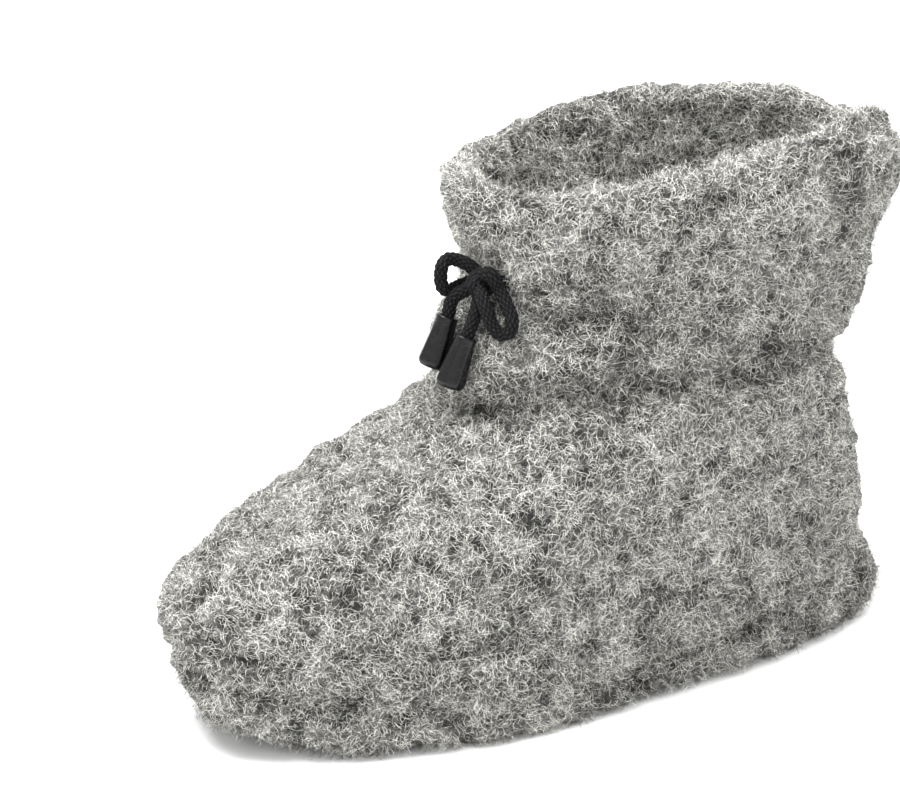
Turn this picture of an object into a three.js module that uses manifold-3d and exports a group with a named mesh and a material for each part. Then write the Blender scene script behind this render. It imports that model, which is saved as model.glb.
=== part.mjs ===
import * as THREE from "three";
import { mergeVertices } from "three/addons/utils/BufferGeometryUtils.js";
import Module from "manifold-3d";

// A wool-fleece slipper boot for either foot, in millimetres, +Z up, toe towards -Y.
// Its origin is on the floor, under the middle of the box round the fleece pieces.

// Driving dimensions of the last and of the sole panel.
const SOLE_LENGTH = 262;
const HEEL_BACK = 135;
const BALL_WIDTH = 108;
const SOLE_THICKNESS = 10;
const SOLE_FLAT_INSET = 34;
const SHOULDER_SHARE = 0.6;
const WELT = 3;
const TOE_RADIUS = 16;
const TOE_SPRING = 6;
const TOE_SPRING_REACH = 46;
const WAIST_LIFT = 1;
const WAIST_REACH = 42;

// Heights above the floor.
const TOE_SEAM_HEIGHT = 27;
const SIDE_SEAM_HEIGHT = 12;
const HEEL_SEAM_HEIGHT = 32;
const ANKLE_FRONT_HEIGHT = 99.5;
const ANKLE_SIDE_HEIGHT = 109.5;
const ANKLE_BACK_HEIGHT = 95.5;
const COLLAR_FRONT_HEIGHT = 174.5;
const COLLAR_BACK_HEIGHT = 184.5;
const RIM_SLACK = 4;

// The ankle ring, where foot and shaft are sewn together, and the collar ring, in plan.
const ANKLE_FRONT = -32;
const ANKLE_BACK = 119.5;
const ANKLE_WIDTH = 84;
const COLLAR_FRONT = -23;
const COLLAR_BACK = 138;
const COLLAR_WIDTH = 98;

// The fleece and its seams.
const WALL = 9;
const SEAM_DEPTH = 3;
const SEAM_REACH = 9;
const SEAM_GAP = 0.4;
const INSOLE_THICKNESS = 5;
const INSOLE_GAP = 0.5;

// The groove that the drawcord pulls round the ankle, and its distance above the ankle seam.
const GROOVE_DEPTH = 9;
const GROOVE_RISE = 45;
const GROOVE_REACH = 14;

// The drawcord, its bow beside the middle of the front, and the moulded ends on its tails.
const CORD_DIAMETER = 4.3;
const CORD_GAP = 0.4;
const BOW_TURN = 10.5;
const KNOT_RADIUS = 5;
const KNOT_WIDTH = 8.2;
const KNOT_SLANT = 0.2;
const EYELET_SPACING = 7;
const EYELET_DEPTH = 5;
const CORD_END_LENGTH = 17.5;
const CORD_END_WIDTH = 10.4;
const CORD_END_BORE = 4;

// How finely the curved faces are divided.
const COLUMNS = 56;
const RIM_STEPS = 5;
const EDGE_STEPS = 4;
const CORD_SIDES = 8;
const CORD_STEP = 5;
const KNOT_COLUMNS = 14;
const EYELET_COLUMNS = 12;
const CORD_END_COLUMNS = 16;
const TURN = 2 * Math.PI;

// Half-width of the sole along its length. along is a share of its length from the toe,
// and half a share of half the ball width. The narrowest place behind the ball is the waist.
const SOLE_SECTIONS = [
  { along: 0.0, half: 0.86 },
  { along: 0.3, half: 1.01 },
  { along: 0.6, half: 0.88 },
  { along: 1.0, half: 0.8 },
];
const WAIST_ALONG = 0.6;

// Exponents of the ovals in plan. 1 is an ellipse, and less is squarer.
const OUTLINE_ROUNDNESS = 0.72;
const ANKLE_ROUNDNESS = 0.85;
const COLLAR_ROUNDNESS = 0.79;

// Profiles of the foot part from the sole seam to the ankle ring, by direction in degrees from the toe.
// rise and lean place the lower handle, as shares of the ankle's front height, and drop and reach
// place the upper one.
const FOOT_PROFILES = [
  { turn: 0, rise: 0.42, lean: 0.27, drop: 0.41, reach: 0.43 },
  { turn: 30, rise: 0.46, lean: 0.2, drop: 0.36, reach: 0.43 },
  { turn: 60, rise: 0.48, lean: 0.06, drop: 0.34, reach: 0.26 },
  { turn: 100, rise: 0.3, lean: 0.02, drop: 0.3, reach: 0.06 },
  { turn: 140, rise: 0.25, lean: 0.02, drop: 0.25, reach: 0.02 },
  { turn: 180, rise: 0.25, lean: -0.02, drop: 0.25, reach: 0.02 },
];

// The sole's edge by direction. radius is how far the edge turns up from the flat, in shares of the
// toe's radius, widest the height of its widest line, in shares of the seam height, and welt a share
// of the welt.
const EDGE_SECTIONS = [
  { turn: 0, radius: 1.7, widest: 1, welt: 0.4 },
  { turn: 25, radius: 1.1, widest: 0.75, welt: 0.6 },
  { turn: 45, radius: 0.5, widest: 0.55, welt: 1 },
  { turn: 140, radius: 0.35, widest: 0.5, welt: 1 },
  { turn: 165, radius: 0.5, widest: 0.45, welt: 2 },
  { turn: 180, radius: 0.5, widest: 0.45, welt: 2.4 },
];

// Height of the sole seam by direction, in shares of the way from the side height to the toe's
// or the heel's.
const SEAM_LEVELS = [
  { turn: 0, toe: 1, heel: 0 },
  { turn: 25, toe: 0.8, heel: 0 },
  { turn: 60, toe: 0, heel: 0 },
  { turn: 115, toe: 0, heel: 0 },
  { turn: 148, toe: 0, heel: 0.66 },
  { turn: 165, toe: 0, heel: 0.95 },
  { turn: 180, toe: 0, heel: 1 },
];

// Height of the ankle seam by direction, in shares of the way from the side height to the front's
// or the back's.
const ANKLE_LEVELS = [
  { turn: 0, front: 1, back: 0 },
  { turn: 75, front: 0, back: 0 },
  { turn: 140, front: 0, back: 0.2 },
  { turn: 180, front: 0, back: 1 },
];

// The groove by direction, in shares of its depth and rise at the front.
const GROOVE_LEVELS = [
  { turn: 0, depth: 1, rise: 1 },
  { turn: 40, depth: 0.65, rise: 0.76 },
  { turn: 85, depth: 0.35, rise: 0.66 },
  { turn: 118, depth: 0.2, rise: 0.3 },
  { turn: 180, depth: 0, rise: 0.2 },
];

// The slack of the collar's rim by direction, turning from the toe towards +X, in shares of its height.
const RIM_LEVELS = [
  { turn: 0, lift: 0 },
  { turn: 45, lift: -0.4 },
  { turn: 90, lift: 0 },
  { turn: 135, lift: 0.3 },
  { turn: 160, lift: -0.8 },
  { turn: 185, lift: -2.2 },
  { turn: 225, lift: -0.6 },
  { turn: 270, lift: 1 },
  { turn: 320, lift: 0.3 },
  { turn: 360, lift: 0 },
];

// Plan of the shaft by height, in shares of its height and of the way from the ankle ring to the
// collar ring.
const SHAFT_SECTIONS = [
  { up: 0.0, front: 0.0, back: 0.0, width: 0.0 },
  { up: 0.25, front: 0.1, back: 0.35, width: 0.3 },
  { up: 0.5, front: 0.6, back: 0.48, width: 0.6 },
  { up: 0.72, front: 0.9, back: 0.88, width: 0.95 },
  { up: 0.88, front: 1.1, back: 1.04, width: 1.06 },
  { up: 1.0, front: 1.0, back: 0.75, width: 1.0 },
];

// Shares along a profile, closer together near its two seams.
const FOOT_ROWS = [0, 0.03, 0.07, 0.12, 0.2, 0.3, 0.4, 0.5, 0.6, 0.7, 0.8, 0.88, 0.93, 0.97, 1];
const SHAFT_ROWS = [0, 0.05, 0.12, 0.2, 0.28, 0.36, 0.44, 0.52, 0.6, 0.7, 0.8, 0.88, 0.95];

// Sections of a moulded end from its foot up. facet is 0 where it is round, 1 where it is eight-sided.
const CORD_END_SECTIONS = [
  { down: 1, width: 0.84, facet: 1 },
  { down: 0.93, width: 1, facet: 1 },
  { down: 0.78, width: 0.98, facet: 1 },
  { down: 0.5, width: 0.86, facet: 0.7 },
  { down: 0.2, width: 0.67, facet: 0.1 },
  { down: 0.16, width: 0.63, facet: 0 },
  { down: 0.12, width: 0.68, facet: 0 },
  { down: 0.03, width: 0.68, facet: 0 },
  { down: 0, width: 0.62, facet: 0 },
];

// Routes of the bow's cords, chosen by eye, in millimetres from the knot's middle. A tail's last
// point is the mouth of its moulded end, which hangs along hang.
const LOOP_LEFT = [
  [-4, -1.7, 4.7],
  [-5.2, -3.5, 6.1],
  [-6.4, -5.4, 6.9],
  [-7, -8, 7.5],
  [-6.6, -10.4, 6.2],
  [-6.6, -11.3, 2.3],
  [-6.8, -10.5, -1.7],
  [-7, -8.3, -3.1],
  [-7.3, -4.9, -2.3],
  [-5.7, -1.8, -1],
];
const LOOP_RIGHT = [
  [5.3, -1, 5],
  [7, 0.1, 4.7],
  [8.2, 2, 0.3],
  [12, 2.9, -4.3],
  [15.3, 3.2, -8.6],
  [15.7, 2.2, -12.3],
  [14, -0.4, -13.3],
  [12, -2.3, -10.6],
  [9.8, -2.9, -6.4],
  [7.1, -3.2, -2.6],
  [5, -2.6, -1.6],
];
const TAIL_LEFT = {
  route: [
    [-2, -4.8, -2.2],
    [-3.2, -7, -3.4],
    [-4.2, -8.9, -5.9],
    [-4.1, -10.3, -10.6],
  ],
  hang: [0, -6.2, -15.3],
};
const TAIL_RIGHT = {
  route: [
    [1.7, -2, -5],
    [3, -3.6, -8.2],
    [4.4, -5.8, -11.7],
    [5.2, -8.1, -15.3],
  ],
  hang: [0, -7.4, -16.6],
};

// Reads a column of a table at a key, smoothly and within the table's ends.
function read(table, key, at, column) {
  const last = table.length - 1;
  const x = Math.min(Math.max(at, table[0][key]), table[last][key]);
  let i = 0;
  while (i < last - 1 && x > table[i + 1][key]) i += 1;
  const row = (k) => table[Math.min(Math.max(k, 0), last)];
  const slope = (k) => {
    const a = row(k - 1);
    const b = row(k + 1);
    return k <= 0 || k >= last ? 0 : (b[column] - a[column]) / (b[key] - a[key]);
  };
  const span = table[i + 1][key] - table[i][key];
  const t = (x - table[i][key]) / span;
  const h = t * t * (3 - 2 * t);
  return (
    table[i][column] * (1 - h) +
    table[i + 1][column] * h +
    span * (slope(i) * t * (1 - t) * (1 - t) - slope(i + 1) * t * t * (1 - t))
  );
}

function mix(a, b, t) {
  return a + (b - a) * t;
}

function smooth(t) {
  const x = Math.min(Math.max(t, 0), 1);
  return x * x * (3 - 2 * x);
}

// 0 at the toe, 1 at the heel.
function backness(turn) {
  return (1 - Math.cos(turn)) / 2;
}

function degreesFromToe(turn) {
  const degrees = ((turn / TURN) * 360 + 360) % 360;
  return degrees > 180 ? 360 - degrees : degrees;
}

// A closed oval in plan between a front and a back point.
function oval(turn, front, back, halfWidth, roundness) {
  const side = Math.sin(turn);
  return {
    x: Math.sign(side) * Math.abs(side) ** roundness * halfWidth,
    y: mix(front, back, backness(turn)),
  };
}

function soleOutline(turn, inset) {
  const along = backness(turn);
  const half = (BALL_WIDTH / 2) * read(SOLE_SECTIONS, "along", along, "half");
  const back = HEEL_BACK - inset;
  const front = HEEL_BACK - SOLE_LENGTH + inset;
  return oval(turn, front, back, half - inset, OUTLINE_ROUNDNESS);
}

function levelOf(table, side, ends, turn) {
  const degrees = degreesFromToe(turn);
  return Object.entries(ends).reduce(
    (height, [column, end]) => height + (end - side) * read(table, "turn", degrees, column),
    side,
  );
}

function seamHeight(turn) {
  const ends = { toe: TOE_SEAM_HEIGHT, heel: HEEL_SEAM_HEIGHT };
  return levelOf(SEAM_LEVELS, SIDE_SEAM_HEIGHT, ends, turn);
}

function ankleHeight(turn) {
  const ends = { front: ANKLE_FRONT_HEIGHT, back: ANKLE_BACK_HEIGHT };
  return levelOf(ANKLE_LEVELS, ANKLE_SIDE_HEIGHT, ends, turn);
}

function collarHeight(turn) {
  const degrees = ((turn / TURN) * 360 + 360) % 360;
  const slack = RIM_SLACK * read(RIM_LEVELS, "turn", degrees, "lift");
  return mix(COLLAR_FRONT_HEIGHT, COLLAR_BACK_HEIGHT, backness(turn)) + slack;
}

function anklePoint(turn) {
  const p = oval(turn, ANKLE_FRONT, ANKLE_BACK, ANKLE_WIDTH / 2, ANKLE_ROUNDNESS);
  return new THREE.Vector3(p.x, p.y, ankleHeight(turn));
}

// The foot part's outer surface before its seams are pulled in.
function footSurface(turn, share) {
  const seam = soleOutline(turn, weltOf(turn));
  const start = new THREE.Vector3(seam.x, seam.y, seamHeight(turn));
  const end = anklePoint(turn);
  const out = new THREE.Vector3(start.x - end.x, start.y - end.y, 0);
  if (out.length() > 1e-6) out.normalize();
  const plan = new THREE.Vector3(Math.sin(turn), -Math.cos(turn), 0);
  const away = out.lerp(plan, 0.5).normalize();
  const degrees = degreesFromToe(turn);
  const take = (column) => ANKLE_FRONT_HEIGHT * read(FOOT_PROFILES, "turn", degrees, column);
  const low = start.clone().addScaledVector(away, take("lean"));
  low.z += take("rise");
  const high = end.clone().addScaledVector(away, take("reach"));
  high.z -= take("drop");
  return new THREE.CubicBezierCurve3(start, low, high, end).getPoint(share);
}

function shaftSurface(turn, up) {
  const take = (column) => read(SHAFT_SECTIONS, "up", up, column);
  const front = mix(ANKLE_FRONT, COLLAR_FRONT, take("front"));
  const back = mix(ANKLE_BACK, COLLAR_BACK, take("back"));
  const half = mix(ANKLE_WIDTH, COLLAR_WIDTH, take("width")) / 2;
  const p = oval(turn, front, back, half, mix(ANKLE_ROUNDNESS, COLLAR_ROUNDNESS, take("width")));
  return new THREE.Vector3(p.x, p.y, mix(ankleHeight(turn), collarHeight(turn) - WALL / 2, up));
}

// Unit normal of a surface, pointing away from the foot. It is level at a seam, where walls meet.
function normalOf(surface, turn, share, toSeam = Infinity) {
  const step = 1e-3;
  const low = Math.max(share - step, 0);
  const high = Math.min(share + step, 1);
  const across = surface(turn + step, share).sub(surface(turn - step, share));
  const along = surface(turn, high).sub(surface(turn, low));
  const level = new THREE.Vector3(across.y, -across.x, 0).normalize();
  return level.lerp(across.cross(along).normalize(), smooth(toSeam / (2 * SEAM_REACH))).normalize();
}

function seamPull(distance) {
  return SEAM_DEPTH * (1 - smooth(distance / SEAM_REACH));
}

function footPoint(turn, share, depth) {
  const base = footSurface(turn, share);
  const toSole = base.distanceTo(footSurface(turn, 0));
  const toAnkle = base.distanceTo(footSurface(turn, 1));
  const pull = depth > 0 ? depth : seamPull(toSole) + seamPull(toAnkle);
  return base.addScaledVector(normalOf(footSurface, turn, share, Math.min(toSole, toAnkle)), -pull);
}

function groovePull(turn, rise) {
  const degrees = degreesFromToe(turn);
  const depth = GROOVE_DEPTH * read(GROOVE_LEVELS, "turn", degrees, "depth");
  const off = (rise - GROOVE_RISE * read(GROOVE_LEVELS, "turn", degrees, "rise")) / GROOVE_REACH;
  return depth * Math.exp(-off * off);
}

function shaftPoint(turn, share, depth) {
  const base = shaftSurface(turn, share);
  const rise = base.z - ankleHeight(turn);
  const pull = groovePull(turn, rise) + (depth > 0 ? depth : seamPull(rise));
  return base.addScaledVector(normalOf(shaftSurface, turn, share, rise), -pull);
}

// One closed body from rings of points. A ring of one point is a pole, and without poles the last
// ring joins the first.
function bodyFromRings(rings) {
  const columns = Math.max(...rings.map((ring) => ring.length));
  const positions = [];
  const starts = rings.map((ring) => {
    const start = positions.length / 3;
    ring.forEach((p) => positions.push(p.x, p.y, p.z));
    return start;
  });
  const index = [];
  const closed = rings[0].length > 1;
  const pairs = closed ? rings.length : rings.length - 1;
  for (let r = 0; r < pairs; r += 1) {
    const next = (r + 1) % rings.length;
    const a = (c) => starts[r] + (rings[r].length > 1 ? c % columns : 0);
    const b = (c) => starts[next] + (rings[next].length > 1 ? c % columns : 0);
    for (let c = 0; c < columns; c += 1) {
      if (rings[r].length > 1) index.push(a(c), a(c + 1), b(c));
      if (rings[next].length > 1) index.push(a(c + 1), b(c + 1), b(c));
    }
  }
  const geometry = new THREE.BufferGeometry();
  geometry.setAttribute("position", new THREE.Float32BufferAttribute(positions, 3));
  geometry.setIndex(index);
  geometry.computeVertexNormals();
  return geometry;
}

function ring(point) {
  return Array.from({ length: COLUMNS }, (_, c) => point((c / COLUMNS) * TURN));
}

function upperGeometry() {
  const outer = FOOT_ROWS.map((share) => ring((turn) => footPoint(turn, share, 0)));
  const inner = FOOT_ROWS.map((share) => ring((turn) => footPoint(turn, share, WALL)));
  return bodyFromRings([...outer, ...inner.reverse()]);
}

function shaftGeometry() {
  const lift = (p) => p.setZ(p.z + SEAM_GAP);
  const outer = SHAFT_ROWS.map((share) => ring((turn) => lift(shaftPoint(turn, share, 0))));
  const inner = SHAFT_ROWS.map((share) => ring((turn) => lift(shaftPoint(turn, share, WALL))));
  const rim = Array.from({ length: RIM_STEPS }, (_, k) => {
    const angle = (Math.PI * k) / (RIM_STEPS - 1);
    return ring((turn) => {
      const p = shaftSurface(turn, 1);
      const normal = normalOf(shaftSurface, turn, 1).setZ(0).normalize();
      p.addScaledVector(normal, (-WALL / 2) * (1 - Math.cos(angle)));
      p.z += (WALL / 2) * Math.sin(angle);
      return lift(p);
    });
  });
  return bodyFromRings([...outer, ...rim, ...inner.reverse()]);
}

// How far the underside lies off the floor: under the toe, and a little at the waist. Elsewhere it is flat.
function floorLift(turn, inset) {
  const fromToe = soleOutline(turn, inset).y - (HEEL_BACK - SOLE_LENGTH);
  const fromWaist = Math.abs(fromToe - WAIST_ALONG * SOLE_LENGTH);
  const spring = TOE_SPRING * smooth(1 - fromToe / TOE_SPRING_REACH);
  return spring + WAIST_LIFT * smooth(1 - fromWaist / WAIST_REACH);
}

function weltOf(turn) {
  return WELT * read(EDGE_SECTIONS, "turn", degreesFromToe(turn), "welt");
}

// A point of the sole's turned-up edge. angle runs from 0 at the flat underside to a quarter turn
// at its widest line.
function edgePoint(turn, angle) {
  const degrees = degreesFromToe(turn);
  const radius = TOE_RADIUS * read(EDGE_SECTIONS, "turn", degrees, "radius");
  const low = floorLift(turn, radius);
  const widest = seamHeight(turn) * read(EDGE_SECTIONS, "turn", degrees, "widest");
  const p = soleOutline(turn, radius * (1 - Math.sin(angle)));
  return new THREE.Vector3(p.x, p.y, mix(low, widest, 1 - Math.cos(angle)));
}

// A ring under the upper's lower edge, depth inside its outer surface.
function underUpper(depth, height) {
  return ring((turn) => footPoint(turn, 0, depth).setZ(height(turn)));
}

function underSole(inset, height) {
  return ring((turn) => {
    const p = soleOutline(turn, inset);
    return new THREE.Vector3(p.x, p.y, height(turn));
  });
}

function soleGeometry() {
  const widest = TURN / 4;
  const rimHeight = (turn) => seamHeight(turn) - SEAM_GAP;
  const rim = (turn) => footPoint(turn, 0, 0).setZ(rimHeight(turn));
  const edge = Array.from({ length: EDGE_STEPS + 1 }, (_, k) => {
    const angle = (widest * k) / EDGE_STEPS;
    return ring((turn) => edgePoint(turn, angle));
  });
  return bodyFromRings([
    [new THREE.Vector3(0, 0, 0)],
    underSole(SOLE_FLAT_INSET, (turn) => floorLift(turn, SOLE_FLAT_INSET)),
    ...edge,
    ring((turn) => edgePoint(turn, widest).lerp(rim(turn), SHOULDER_SHARE)),
    underUpper(0, rimHeight),
    underUpper(WALL, rimHeight),
    underUpper(WALL + INSOLE_GAP, () => SOLE_THICKNESS),
    underSole(SOLE_FLAT_INSET, () => SOLE_THICKNESS),
    [new THREE.Vector3(0, 0, SOLE_THICKNESS)],
  ]);
}

function insoleGeometry() {
  const inset = WALL + 2 * INSOLE_GAP;
  const low = SOLE_THICKNESS + SEAM_GAP;
  const high = low + INSOLE_THICKNESS;
  const edge = INSOLE_THICKNESS / 4;
  return bodyFromRings([
    [new THREE.Vector3(0, 0, low)],
    underSole(SOLE_FLAT_INSET, () => low),
    underUpper(inset + edge, () => low),
    underUpper(inset, () => low + edge),
    underUpper(inset, () => high - edge),
    underUpper(inset + edge, () => high),
    underSole(SOLE_FLAT_INSET, () => high),
    [new THREE.Vector3(0, 0, high)],
  ]);
}

// Round cord through points in the bow's own frame.
function cordGeometry(points) {
  const places = points.map((p) => new THREE.Vector3(...p));
  const path = new THREE.CatmullRomCurve3(places, false, "centripetal");
  const section = new THREE.Shape();
  for (let k = 0; k < CORD_SIDES; k += 1) {
    const angle = (k / CORD_SIDES) * TURN;
    const place = [Math.cos(angle) * (CORD_DIAMETER / 2), Math.sin(angle) * (CORD_DIAMETER / 2)];
    if (k === 0) section.moveTo(...place);
    else section.lineTo(...place);
  }
  section.closePath();
  const steps = Math.max(2, Math.round(path.getLength() / CORD_STEP));
  return new THREE.ExtrudeGeometry(section, { steps, extrudePath: path, bevelEnabled: false });
}

const wasm = await Module();
wasm.setup();

function toSolid(geometry) {
  const bare = geometry.clone();
  bare.deleteAttribute("normal");
  bare.deleteAttribute("uv");
  const merged = mergeVertices(bare, 1e-4);
  return new wasm.Manifold(
    new wasm.Mesh({
      numProp: 3,
      vertProperties: new Float32Array(merged.attributes.position.array),
      triVerts: new Uint32Array(merged.index.array),
    }),
  );
}

function toGeometry(solid) {
  const mesh = solid.getMesh();
  const geometry = new THREE.BufferGeometry();
  geometry.setAttribute("position", new THREE.BufferAttribute(new Float32Array(mesh.vertProperties), 3));
  geometry.setIndex(Array.from(mesh.triVerts));
  geometry.computeVertexNormals();
  return geometry;
}

// The knot's middle, in front of the groove.
function knotPlace() {
  const turn = (BOW_TURN / 360) * TURN;
  const rise = GROOVE_RISE * read(GROOVE_LEVELS, "turn", BOW_TURN, "rise");
  const share = rise / (collarHeight(turn) - WALL / 2 - ankleHeight(turn));
  const seat = shaftPoint(turn, share, 0);
  return seat.addScaledVector(normalOf(shaftSurface, turn, share), KNOT_RADIUS + CORD_GAP);
}

// Two slanting wraps of cord round the roots of both loops.
function knotGeometry() {
  const thread = CORD_DIAMETER / 2;
  const middle = KNOT_RADIUS - thread;
  const core = new THREE.SphereGeometry(1, KNOT_COLUMNS, CORD_SIDES);
  core.scale(KNOT_WIDTH / 2, middle + thread / 2, middle + thread / 2);
  const wraps = [-1, 1].map((side) => {
    const wrap = new THREE.TorusGeometry(middle, thread, CORD_SIDES, KNOT_COLUMNS);
    wrap.rotateY(TURN / 4 + side * KNOT_SLANT);
    wrap.translate((side * (KNOT_WIDTH - CORD_DIAMETER)) / 2, 0, 0);
    return toSolid(wrap);
  });
  return toGeometry(wraps.reduce((solid, wrap) => solid.add(wrap), toSolid(core)));
}

const EYELETS = [-1, 1].map((side) => (side * EYELET_SPACING) / 2);

// A straight stretch of cord from inside an eyelet to the knot's back.
function stubGeometry(across) {
  return cordGeometry([
    [across, KNOT_RADIUS + CORD_GAP, 0],
    [across, KNOT_RADIUS + 2 * CORD_GAP + EYELET_DEPTH, 0],
  ]);
}

// The shaft with a blind eyelet for each stub.
function shaftWithEyelets() {
  const place = knotPlace();
  const radius = CORD_DIAMETER / 2 + CORD_GAP;
  return toGeometry(
    EYELETS.reduce((solid, across) => {
      const hole = new THREE.CylinderGeometry(radius, radius, 2 * EYELET_DEPTH, EYELET_COLUMNS);
      hole.translate(place.x + across, place.y + KNOT_RADIUS + 3 * CORD_GAP, place.z);
      return solid.subtract(toSolid(hole));
    }, toSolid(shaftGeometry())),
  );
}

// A moulded end, its mouth at its origin and its axis down, with a blind bore for the cord.
function cordEndGeometry() {
  const section = ({ down, width, facet }) =>
    Array.from({ length: CORD_END_COLUMNS }, (_, c) => {
      const angle = (c / CORD_END_COLUMNS) * TURN;
      const side = TURN / 8;
      const flat = Math.cos(side / 2) / Math.cos((angle % side) - side / 2);
      const radius = (CORD_END_WIDTH / 2) * width * mix(1, flat, facet);
      const height = -down * CORD_END_LENGTH;
      return new THREE.Vector3(Math.cos(angle) * radius, Math.sin(angle) * radius, height);
    });
  const bore = (CORD_DIAMETER / 2 + CORD_GAP) / (CORD_END_WIDTH / 2);
  const boreEnd = CORD_END_BORE / CORD_END_LENGTH;
  return bodyFromRings([
    [new THREE.Vector3(0, 0, -CORD_END_LENGTH)],
    ...CORD_END_SECTIONS.map(section),
    section({ down: 0, width: bore, facet: 0 }),
    section({ down: boreEnd, width: bore, facet: 0 }),
    [new THREE.Vector3(0, 0, -CORD_END_BORE)],
  ]);
}

// The stretch of a tail inside its moulded end follows the end's own axis.
function tailGeometry({ route, hang }) {
  const down = new THREE.Vector3(...hang).normalize();
  const inside = new THREE.Vector3(...route.at(-1)).addScaledVector(down, CORD_END_BORE - CORD_GAP);
  return cordGeometry([...route, inside.toArray()]);
}

const fleece = new THREE.MeshStandardMaterial({ color: 0x8d8c88, roughness: 1, metalness: 0 });
const cord = new THREE.MeshStandardMaterial({ color: 0x151517, roughness: 0.9, metalness: 0 });
const plastic = new THREE.MeshStandardMaterial({ color: 0x1d1d20, roughness: 0.45, metalness: 0 });

const slipper = new THREE.Group();
function addPiece(name, geometry, material) {
  const piece = new THREE.Mesh(geometry, material);
  piece.name = name;
  slipper.add(piece);
  return piece;
}

const body = [
  addPiece("sole", soleGeometry(), fleece),
  addPiece("insole", insoleGeometry(), fleece),
  addPiece("upper", upperGeometry(), fleece),
  addPiece("shaft", shaftWithEyelets(), fleece),
];
const box = body.reduce((all, piece) => all.expandByObject(piece), new THREE.Box3());
slipper.position.set(-(box.min.x + box.max.x) / 2, -(box.min.y + box.max.y) / 2, -box.min.z);

const bow = new THREE.Group();
bow.position.copy(knotPlace());
slipper.add(bow);
const addToBow = (name, geometry, material) => bow.add(addPiece(name, geometry, material));
addToBow("drawcord_left", stubGeometry(EYELETS[0]), cord);
addToBow("drawcord_right", stubGeometry(EYELETS[1]), cord);
addToBow("bow_knot", knotGeometry(), cord);
addToBow("bow_loop_left", cordGeometry(LOOP_LEFT), cord);
addToBow("bow_loop_right", cordGeometry(LOOP_RIGHT), cord);
addToBow("bow_tail_left", tailGeometry(TAIL_LEFT), cord);
addToBow("bow_tail_right", tailGeometry(TAIL_RIGHT), cord);

function addCordEnd(name, { route, hang }) {
  const piece = addPiece(name, cordEndGeometry(), plastic);
  const down = new THREE.Vector3(...hang).normalize();
  piece.position.set(...route.at(-1));
  piece.quaternion.setFromUnitVectors(new THREE.Vector3(0, 0, -1), down);
  bow.add(piece);
}

addCordEnd("cord_end_left", TAIL_LEFT);
addCordEnd("cord_end_right", TAIL_RIGHT);

export default slipper;
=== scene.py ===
"""A wool fleece slipper boot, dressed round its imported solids.

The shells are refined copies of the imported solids, with tufts and creases. Over them lies the wool,
as thin curved fibres. The bow at the front is two braided cords, a knot and two moulded ends.
Lengths are in metres, with +Z up and the toe towards -Y.
"""

from __future__ import annotations

import logging
import math
from collections.abc import Sequence
from dataclasses import dataclass, field
from enum import Enum

import bmesh
import bpy
import numpy as np
from mathutils import Matrix, Vector
from mathutils.bvhtree import BVHTree


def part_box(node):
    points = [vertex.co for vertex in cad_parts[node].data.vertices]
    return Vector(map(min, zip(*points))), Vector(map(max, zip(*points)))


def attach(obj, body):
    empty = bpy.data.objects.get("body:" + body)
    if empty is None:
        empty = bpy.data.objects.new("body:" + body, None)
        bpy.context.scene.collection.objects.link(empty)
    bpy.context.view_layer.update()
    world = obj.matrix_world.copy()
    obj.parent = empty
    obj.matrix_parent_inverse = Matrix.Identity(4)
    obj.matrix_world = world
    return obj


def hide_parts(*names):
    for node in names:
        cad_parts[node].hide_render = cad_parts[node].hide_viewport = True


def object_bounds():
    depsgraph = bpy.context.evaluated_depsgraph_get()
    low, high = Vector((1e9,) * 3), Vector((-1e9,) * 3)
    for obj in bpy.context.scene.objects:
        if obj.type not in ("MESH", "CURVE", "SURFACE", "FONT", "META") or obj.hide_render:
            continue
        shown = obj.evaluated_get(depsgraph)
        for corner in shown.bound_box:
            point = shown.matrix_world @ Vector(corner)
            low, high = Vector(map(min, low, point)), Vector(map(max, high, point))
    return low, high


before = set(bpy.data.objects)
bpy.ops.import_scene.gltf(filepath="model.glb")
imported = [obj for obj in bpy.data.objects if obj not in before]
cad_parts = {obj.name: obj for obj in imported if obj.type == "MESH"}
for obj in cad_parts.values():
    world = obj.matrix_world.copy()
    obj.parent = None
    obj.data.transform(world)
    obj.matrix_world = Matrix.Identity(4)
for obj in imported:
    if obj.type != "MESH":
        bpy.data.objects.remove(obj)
CAD_LOW, CAD_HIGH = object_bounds()

MM = 0.001
TURN = 2 * math.pi
ROUTE_SAMPLES = 60
BODY = "root"
BAKE_MAP = "OFBake"

LOG = logging.getLogger("slipper")

Colour = tuple[float, float, float]
Point = tuple[float, float, float]


class Slot(Enum):
    """The record's material slots."""

    FLEECE = "fleece"
    CORD = "cord"
    CORD_END = "cord_end"


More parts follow.
